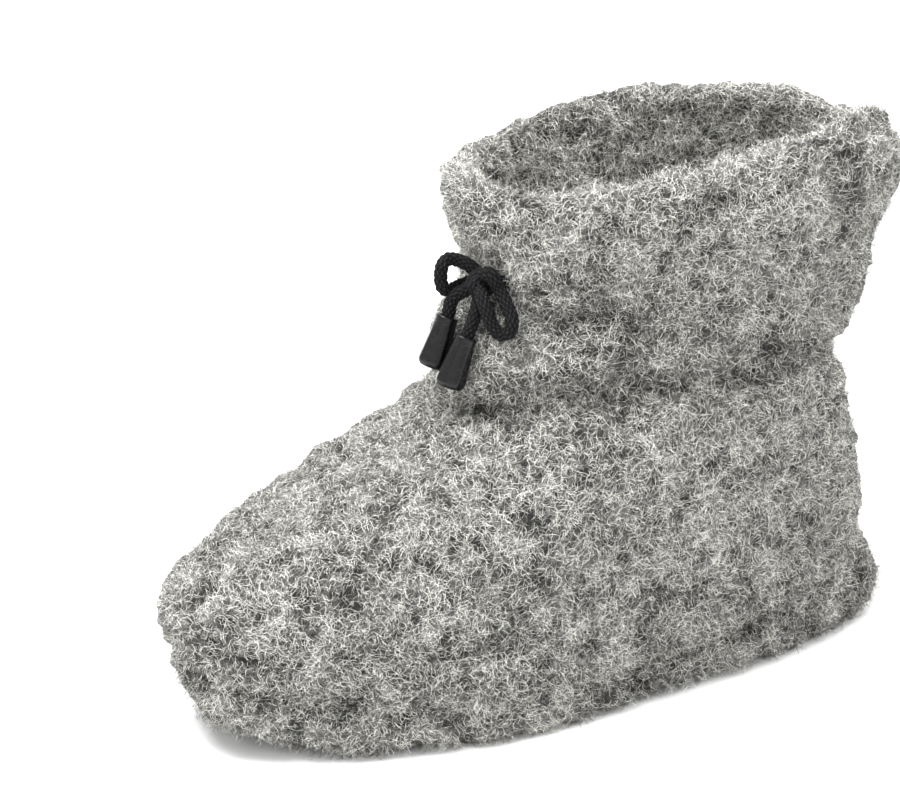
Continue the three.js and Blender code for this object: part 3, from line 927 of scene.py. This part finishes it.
CREASES = (
    Crease(
        4.0,
        4.0,
        ((11.7, -126, 54.7), (12.3, -130.6, 48), (16.6, -130, 44.6), (22, -126, 37.5), (28, -119, 38)),
    ),
    Crease(3.4, 4.5, ((50.2, -37.8, 51.2), (50.7, -31, 43), (50.5, -23.9, 34.2))),
    Crease(4.0, 4.5, ((31.1, 95.4, 38), (29.4, 96.7, 27.7), (27.7, 97, 19.5))),
    Crease(3.7, 4.0, ((15.9, 119.2, 25), (20.8, 117, 18.4), (24.7, 113.8, 14.7))),
    Crease(2.8, 4.0, ((40.9, 17, 125.3), (41.8, 23.8, 125.1))),
    Crease(4.0, 5.0, ((24.2, -17.4, 130.2), (29, -9.4, 133), (33.3, -1.4, 134.2), (36.4, 7.4, 137.4))),
    Crease(2.2, 5.0, ((36.4, 7.4, 137.4), (40.4, 20.9, 134.7), (42.7, 38.2, 124), (39.5, 55.3, 115.1))),
    Crease(2.0, 5.5, ((45.4, 88.3, 174.8), (42.4, 90.6, 155.1), (34.3, 96.4, 131.4), (28, 98, 118))),
    Crease(3.1, 4.0, ((-5.2, -33.6, 106), (-5.2, -33.6, 102.2), (-0.8, -36.1, 97.7))),
    Crease(3.4, 4.5, ((-50.2, -45, 50), (-50.7, -36, 42), (-50, -30, 32))),
    Crease(3.1, 4.5, ((-42.7, 40, 124), (-39.5, 56, 116))),
    Crease(3.4, 4.5, ((-33, 92, 36), (-31, 95, 24))),
    Crease(-2.2, 14.0, ((-10, -31, 160), (8, -33, 158), (22, -28, 157))),
)


@dataclass(frozen=True)
class Wool:
    """One layer of curved fibres. bends are the places along a fibre where it turns."""

    name: str
    bends: tuple[float, ...]
    density: float
    length: float
    width: float
    lift: float
    curl: float
    lightness: float
    pieces: dict[str, int]

    @property
    def strand(self) -> list[tuple[float, float]]:
        """A fibre's points: the side that each is on, and how far along."""
        return [(0, 0.0), *((side, along) for along in self.bends for side in (-1, 1)), (0, 1.0)]

    def make(self) -> bpy.types.Object:
        """A flat pointed ribbon, as a unit: x is across and y goes from 0 to 1 along."""
        points = [(side, along, 0) for side, along in self.strand]
        last = len(points) - 1
        middle = [(k + 2, k + 3, k + 1, k) for k in range(1, last - 2, 2)]
        faces = [(0, 2, 1), *middle, (last - 2, last - 1, last)]
        return placed(self.name, mesh_from(self.name, points, faces))


WOOL = (
    Wool(
        name="down",
        bends=(0.5,),
        density=1.3e6,
        length=3.1 * MM,
        width=0.105 * MM,
        lift=1.6 * MM,
        curl=2.8,
        lightness=0.0,
        pieces={"sole": 1, "insole": 1, "upper": 2, "shaft": 2},
    ),
    Wool(
        name="curls",
        bends=(0.35, 0.68),
        density=0.57e6,
        length=5.2 * MM,
        width=0.112 * MM,
        lift=2.2 * MM,
        curl=5.0,
        lightness=0.16,
        pieces={"sole": 1, "insole": 1, "upper": 1, "shaft": 1},
    ),
)


class Side(Enum):
    """Which way a place of the fleece looks."""

    HIDDEN = 0
    OUTSIDE = 1
    INSIDE = 2
    UNDER = 3


@dataclass
class Fleece:
    """The sewn pieces of fleece: sole, insole, upper and shaft, and the wool on them."""

    nodes: tuple[str, ...] = ("sole", "insole", "upper", "shaft")
    # How a solid's mesh is refined, and how far its points go back out to the solid.
    weld: float = 0.01 * MM
    join_angle: float = math.radians(50)
    levels: int = 2
    fullness: float = 0.8
    # The collar's back stands a little higher than its solid, and the instep is fuller.
    rim_from: float = 150 * MM
    rim_reach: float = 25 * MM
    rim_set: Point = (0, -2.4, 3.8)
    instep_at: float = -58 * MM
    instep_reach: float = 30 * MM
    instep_rise: float = 2.6 * MM
    instep_slope: float = 0.2
    # Lumps and tufts, which fade out where no wool grows.
    wool_depth: float = 0.3 * MM
    lump_size: float = 34 * MM
    lump_depth: float = 3.2 * MM
    tuft_size: float = 8 * MM
    tuft_depth: float = 8.8 * MM
    curl_share: float = 0.45
    fade: float = 5.0
    shell_bottom: float = 0.3 * MM
    point_bottom: float = 0.4 * MM
    # Seams are soft valleys. The one at the sole is filled, so it has a depth below 0.
    seam_reach: float = 1.2 * MM
    waist_seam_depth: float = 2.5 * MM
    sole_seam_depth: float = -1.0 * MM
    sole_seam_top: float = 60 * MM
    seam_width: float = 5 * MM
    seam_cover: float = 0.95
    # How a place is told to be hidden, inside or underneath.
    same_way: float = 0.3
    near_step: float = 0.05 * MM
    far_step: float = 0.5 * MM
    inside_width: float = 140 * MM
    under_slope: float = -0.8
    under_top: float = 8 * MM
    # The wool's cover and shade.
    densities: dict[Side, float] = field(
        default_factory=lambda: {Side.HIDDEN: 0.0, Side.OUTSIDE: 1.0, Side.INSIDE: 0.22, Side.UNDER: 0.3}
    )
    lit_height: float = 118 * MM
    lit_cover: float = 0.85
    # Painted light makes the fibres inside the shaft paler. Painted shade makes them darker in seams and
    # creases by their depth, and paler on ridges.
    inside_painted_light: float = 1.2
    fold_painted_shade: float = 120.0
    # The fibres' shade follows the pattern of the tufts and their curls: painted light on their tops and
    # painted shade in the hollows, along with the wool's own mottled tone.
    tuft_painted_shade_weight: float = 4.4
    curl_painted_shade_weight: float = 3.4
    fibre_weight: float = 2.8
    shade_offset: float = -0.84
    swirl_size: float = 9 * MM
    swirl_turns: float = 4.0
    root_depth: float = 0.25 * MM

    def __post_init__(self) -> None:
        """Reads the solids, to tell inside from outside and to find the seams."""
        self.solids = self.tree_of(self.nodes)
        self.neighbours = {node: self.tree_of([n for n in self.nodes if n != node]) for node in self.nodes}

    @staticmethod
    def tree_of(nodes: Sequence[str]) -> BVHTree:
        """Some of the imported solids, as one tree to look up places in."""
        points, faces = [], []
        for name in nodes:
            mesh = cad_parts[name].data
            start = len(points)
            points.extend(v.co.copy() for v in mesh.vertices)
            faces.extend([start + k for k in p.vertices] for p in mesh.polygons)
        return BVHTree.FromPolygons(points, faces)

    def side_of(self, point: Vector, normal: Vector) -> Side:
        """Which way the solids' surface looks at the place that is nearest to a point."""
        point, flat_normal = self.solids.find_nearest(point)[:2]
        if flat_normal.dot(normal) > self.same_way:
            normal = flat_normal
        off = point + normal * self.near_step
        if self.solids.ray_cast(off, normal, self.seam_reach)[0] is not None:
            return Side.HIDDEN
        off = point + normal * self.far_step
        across = [self.solids.ray_cast(off, Vector((x, 0, 0)), self.inside_width)[0] for x in (-1, 1)]
        if None not in across:
            return Side.INSIDE
        under = normal.z < self.under_slope and point.z < self.under_top
        return Side.UNDER if under else Side.OUTSIDE

    def refined(self, node: str) -> bpy.types.Mesh:
        """A solid's mesh, with its loose triangles joined and smoothed."""
        work = bmesh.new()
        work.from_mesh(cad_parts[node].data)
        bmesh.ops.remove_doubles(work, verts=work.verts, dist=self.weld)
        bmesh.ops.join_triangles(
            work,
            faces=work.faces,
            angle_face_threshold=self.join_angle,
            angle_shape_threshold=self.join_angle,
        )
        mesh = bpy.data.meshes.new(node)
        work.to_mesh(mesh)
        work.free()
        coarse = placed("coarse", mesh)
        refine = coarse.modifiers.new("refine", "SUBSURF")
        refine.levels = refine.render_levels = self.levels
        fine = evaluated(coarse)
        drop(coarse)
        return fine

    def fill_out(self, points: np.ndarray, normals: np.ndarray) -> None:
        """Moves points back out to the solids, then raises the collar's back and the instep.

        Args:
            points: The places, a row each, which are changed.
            normals: Which way each of them looks.
        """
        solid = np.array([self.solids.find_nearest(Vector(p))[0] for p in points])
        points += (solid - points) * self.fullness
        high = np.clip((points[:, 2] - self.rim_from) / self.rim_reach, 0, 1)
        back = np.clip(points[:, 1] / CAD_HIGH[1], 0, 1)
        points += (high * back)[:, None] * np.array(self.rim_set) * MM
        upward = np.clip(normals[:, 2] - self.instep_slope, 0, 1)
        brow = np.exp(-(((points[:, 1] - self.instep_at) / self.instep_reach) ** 2))
        points[:, 2] += self.instep_rise * brow * upward * (points[:, 2] < self.rim_from)

    def folds(self, node: str, points: np.ndarray) -> np.ndarray:
        """How deep seams and creases are.

        Args:
            node: The solid that the points are on.
            points: The places, a row each.

        Returns:
            A depth for each.
        """
        apart = np.array([self.neighbours[node].find_nearest(Vector(p))[3] for p in points])
        depth = np.where(points[:, 2] > self.sole_seam_top, self.waist_seam_depth, self.sole_seam_depth)
        folds = depth * np.exp(-((apart / self.seam_width) ** 2))
        return folds + sum(crease.pull(points) for crease in CREASES)

    def cover(self, mesh: bpy.types.Mesh, points: np.ndarray, sides: Sequence[Side]) -> np.ndarray:
        """How much wool grows. It runs on along one edge past the places that show.

        Args:
            mesh: The shell's mesh.
            points: Its points, a row each.
            sides: Which way each of them looks.

        Returns:
            A share for each.
        """
        dense = [self.densities[side] for side in sides]
        lit = [side is Side.INSIDE and p[2] > self.lit_height for side, p in zip(sides, points)]
        amount = np.maximum(dense, np.array(lit, float) * self.lit_cover)
        edges = np.array([e.vertices[:] for e in mesh.edges])
        spread = amount.copy()
        for a, b in (edges.T, edges.T[::-1]):
            np.maximum.at(spread, a, amount[b] * self.seam_cover)
        return spread

    def shell(self, node: str) -> bpy.types.Object:
        """A refined copy of a solid, pulled in by the depth of the wool and creased."""
        fine = self.refined(node)
        points, normals = points_of(fine), normals_of(fine)
        sides = [self.side_of(Vector(p), Vector(n)) for p, n in zip(points, normals)]
        self.fill_out(points, normals)
        open_air = np.array([side is not Side.HIDDEN for side in sides], float)
        outside = np.array([side in {Side.OUTSIDE, Side.UNDER} for side in sides], float)
        folds = self.folds(node, points) * outside
        points -= normals * (self.wool_depth * open_air + folds)[:, None]
        points[:, 2] = np.maximum(points[:, 2], self.point_bottom)
        fine.vertices.foreach_set("co", points.ravel())
        # pale holds painted light and shade: paler fibres inside the shaft, darker ones in seams and
        # creases, paler ones on ridges and on the filled sole seam.
        pale = [self.inside_painted_light if side is Side.INSIDE else 0.0 for side in sides]
        for name, values in (
            ("pale", pale - folds * self.fold_painted_shade),
            ("cover", self.cover(fine, points, sides)),
        ):
            layer = fine.attributes.new(name, "FLOAT", "POINT")
            layer.data.foreach_set("value", values.astype(np.float32))
        fine.update()
        return placed(f"{node}_smooth", fine)

    def tufts(self) -> GeometryNet:
        """The tree that raises lumps and tufts on a shell."""
        net = GeometryNet("tufts", lump_size=float, lump_depth=float, tuft_size=float, tuft_depth=float)
        place = net.wire("GeometryNodeInputPosition")
        normal = net.wire("GeometryNodeInputNormal")
        cover = net.maths("MINIMUM", net.named("cover", "FLOAT") * self.fade, 1.0)
        lumps = (net.noise(place, net.given("lump_size"), detail=0.0) - 0.5) * net.given("lump_depth")
        tufts, curls = self.patterns(net, place, roughness=0.5)
        raised = (tufts + curls * self.curl_share) * net.given("tuft_depth")
        x, y, z = net.parts_of(place + normal * ((lumps + raised) * cover))
        above = net.maths("MAXIMUM", z, self.shell_bottom)
        place = net.wire("ShaderNodeCombineXYZ", None, {0: x, 1: y, 2: above})
        moved = {"Geometry": net.given("Geometry"), "Position": place}
        shaped = net.wire("GeometryNodeSetPosition", None, moved)
        net.end(net.wire("GeometryNodeSetShadeSmooth", None, {"Geometry": shaped}))
        return net

    @staticmethod
    def patterns(net: GeometryNet, place: Wire, roughness: float) -> tuple[Wire, Wire]:
        """The pattern of the tufts and the finer one of their curls, from -0.5 to 0.5."""
        size = net.given("tuft_size")
        tufts = net.noise(place, size * 1.25, detail=3.0, roughness=roughness)
        curls = net.noise(place, size * 0.4, detail=1.0)
        return tufts - 0.5, curls - 0.5

    def wool(self) -> GeometryNet:
        """The tree that lays curved fibres on a shell."""
        net = GeometryNet(
            "wool",
            strand=bpy.types.Object,
            density=float,
            length=float,
            width=float,
            lift=float,
            curl=float,
            lightness=float,
            swirl_size=float,
            tuft_size=float,
            seed=int,
        )
        laid, bent = self.growth(net), self.bending(net)
        shaped = net.wire("GeometryNodeSetPosition", None, {"Geometry": laid, "Position": bent})
        net.end(net.wire("GeometryNodeSetShadeSmooth", None, {"Geometry": shaped}))
        return net

    def growth(self, net: GeometryNet) -> Wire:
        """Scatters straight fibres, each with its root, its chances and its shade.

        Args:
            net: The wool's tree.

        Returns:
            The fibres.
        """
        seed = net.given("seed")
        scattered = net.node(
            "GeometryNodeDistributePointsOnFaces",
            {"distribute_method": "RANDOM"},
            {
                "Mesh": net.given("Geometry"),
                "Density": net.given("density") * net.named("cover", "FLOAT"),
                "Seed": seed,
            },
        )
        place = net.wire("GeometryNodeInputPosition")
        tone, _, _ = net.parts_of(net.chance(seed + 31))
        # Painted light and shade: fibres are paler where the tufts and curls rise and darker in their
        # hollows, along with the wool's own mottling. pale adds the painted light inside and the painted
        # shade in folds.
        tuft_painted_shade, grain = self.patterns(net, place, roughness=0.6)
        painted_light_and_shade = tuft_painted_shade * self.tuft_painted_shade_weight + grain * self.curl_painted_shade_weight + net.named("pale", "FLOAT")
        shade = painted_light_and_shade + tone * self.fibre_weight + net.given("lightness") + self.shade_offset
        points = Wire(net, scattered.outputs["Points"])
        for name, kind, value in (
            ("up", "FLOAT_VECTOR", Wire(net, scattered.outputs["Normal"])),
            ("root", "FLOAT_VECTOR", place),
            ("chance", "FLOAT_VECTOR", net.chance(seed + 57)),
            ("more_chance", "FLOAT_VECTOR", net.chance(seed + 83)),
            ("shade", "FLOAT", net.spread(shade, 0.0, 1.0)),
            ("swirl", "FLOAT", net.noise(place, net.given("swirl_size"), detail=1.0)),
        ):
            points = net.store(points, name, kind, value)
        strand = net.wire("GeometryNodeObjectInfo", None, {"Object": net.given("strand")}, out="Geometry")
        laid = net.wire("GeometryNodeInstanceOnPoints", None, {"Points": points, "Instance": strand})
        return net.wire("GeometryNodeRealizeInstances", None, {"Geometry": laid})

    def bending(self, net: GeometryNet) -> Wire:
        """Where each point of a straight fibre goes, so that it curls over the shell.

        Args:
            net: The wool's tree.

        Returns:
            The place.
        """
        root, up = net.named("root", "FLOAT_VECTOR"), net.named("up", "FLOAT_VECTOR")
        across, along, _ = net.parts_of(net.wire("GeometryNodeInputPosition") - root)
        longer, bend, spin = net.parts_of(net.named("chance", "FLOAT_VECTOR"))
        raised, droop, thick = net.parts_of(net.named("more_chance", "FLOAT_VECTOR"))
        first = net.maths("NORMALIZE", net.maths("CROSS_PRODUCT", up, (0.31, 0.53, 0.79)))
        second = net.maths("CROSS_PRODUCT", up, first)
        heading = net.named("swirl", "FLOAT") * (self.swirl_turns * TURN) + (spin - 0.5) * 3.4
        turned = (bend - 0.5) * 2.0 * net.given("curl") * along
        reach = net.given("length") * (longer * 0.7 + 0.65) * along
        middle = heading + turned * 0.5
        flat = first * net.maths("COSINE", middle) + second * net.maths("SINE", middle)
        facing = heading + turned
        sideways = second * net.maths("COSINE", facing) - first * net.maths("SINE", facing)
        hump = net.maths("SINE", along * (droop * 1.5 + 1.1))
        height = net.given("lift") * (raised ** 3.0 * 1.5 + 0.55) * hump - self.root_depth
        half = net.given("width") * (thick * 0.5 + 0.75) * across * 0.5
        x, y, z = net.parts_of(root + flat * reach + up * height + sideways * half)
        above = net.maths("MAXIMUM", z, thick * 0.3 * MM + 0.1 * MM)
        return net.wire("ShaderNodeCombineXYZ", None, {0: x, 1: y, 2: above})

    def comb(self, made: bpy.types.Object, wool: Wool) -> None:
        """Gives fibres their map, with their shade across and their length up.

        Args:
            made: A piece of wool.
            wool: Its layer.
        """
        mesh = made.data
        shade = np.empty(len(mesh.vertices), np.float32)
        mesh.attributes["shade"].data.foreach_get("value", shade)
        side, along = np.tile(np.array(wool.strand), (len(shade) // len(wool.strand), 1)).T
        # The map keeps clear of its border, and a fibre has some width on it.
        place = np.stack([0.03 + 0.94 * shade + 0.004 * side, 0.04 + 0.92 * along], 1)
        corner = np.empty(len(mesh.loops), np.int32)
        mesh.loops.foreach_get("vertex_index", corner)
        layer = mesh.uv_layers.new(name=BAKE_MAP, do_init=False)
        layer.uv.foreach_set("vector", place[corner].astype(np.float32).ravel())
        for name in ("up", "root", "chance", "more_chance", "shade", "swirl"):
            mesh.attributes.remove(mesh.attributes[name])

    def build(self) -> None:
        """Makes the shells and their wool."""
        underwool, fibres = UnderwoolFinish().make(), WoolFinish().make()
        tufts, laying = self.tufts(), self.wool()
        for node in self.nodes:
            smooth = self.shell(node)
            made = tufts.run(
                smooth,
                f"{node}_fleece",
                lump_size=self.lump_size,
                lump_depth=self.lump_depth,
                tuft_size=self.tuft_size,
                tuft_depth=self.tuft_depth,
                material=underwool,
            )
            drop(smooth)
            for wool in WOOL:
                self.lay(made, node, wool, laying, fibres)
            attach(made, BODY)
            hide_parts(node)
            report(made)

    def lay(
        self,
        shell: bpy.types.Object,
        node: str,
        wool: Wool,
        laying: GeometryNet,
        fibres: bpy.types.Material,
    ) -> None:
        """Lays one layer of wool on a shell.

        Args:
            shell: The shell.
            node: The solid that it stands for.
            wool: The layer.
            laying: The tree that lays it.
            fibres: The fibres' material.
        """
        strand = wool.make()
        pieces = wool.pieces[node]
        for batch in range(pieces):
            piece = laying.run(
                shell,
                f"{node}_{wool.name}_{batch + 1}",
                strand=strand,
                density=wool.density / pieces,
                length=wool.length,
                width=wool.width,
                lift=wool.lift,
                curl=wool.curl,
                lightness=wool.lightness,
                swirl_size=self.swirl_size,
                tuft_size=self.tuft_size,
                seed=batch + len(wool.strand),
                material=fibres,
            )
            self.comb(piece, wool)
            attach(piece, BODY)
            report(piece)
        drop(strand)


def main() -> None:
    """Builds the studio, the bow and the fleece, in that order."""
    logging.basicConfig(level=logging.INFO, format="%(message)s")
    Studio().build()
    Drawcord().build()
    Fleece().build()


if __name__ == "__main__":
    main()
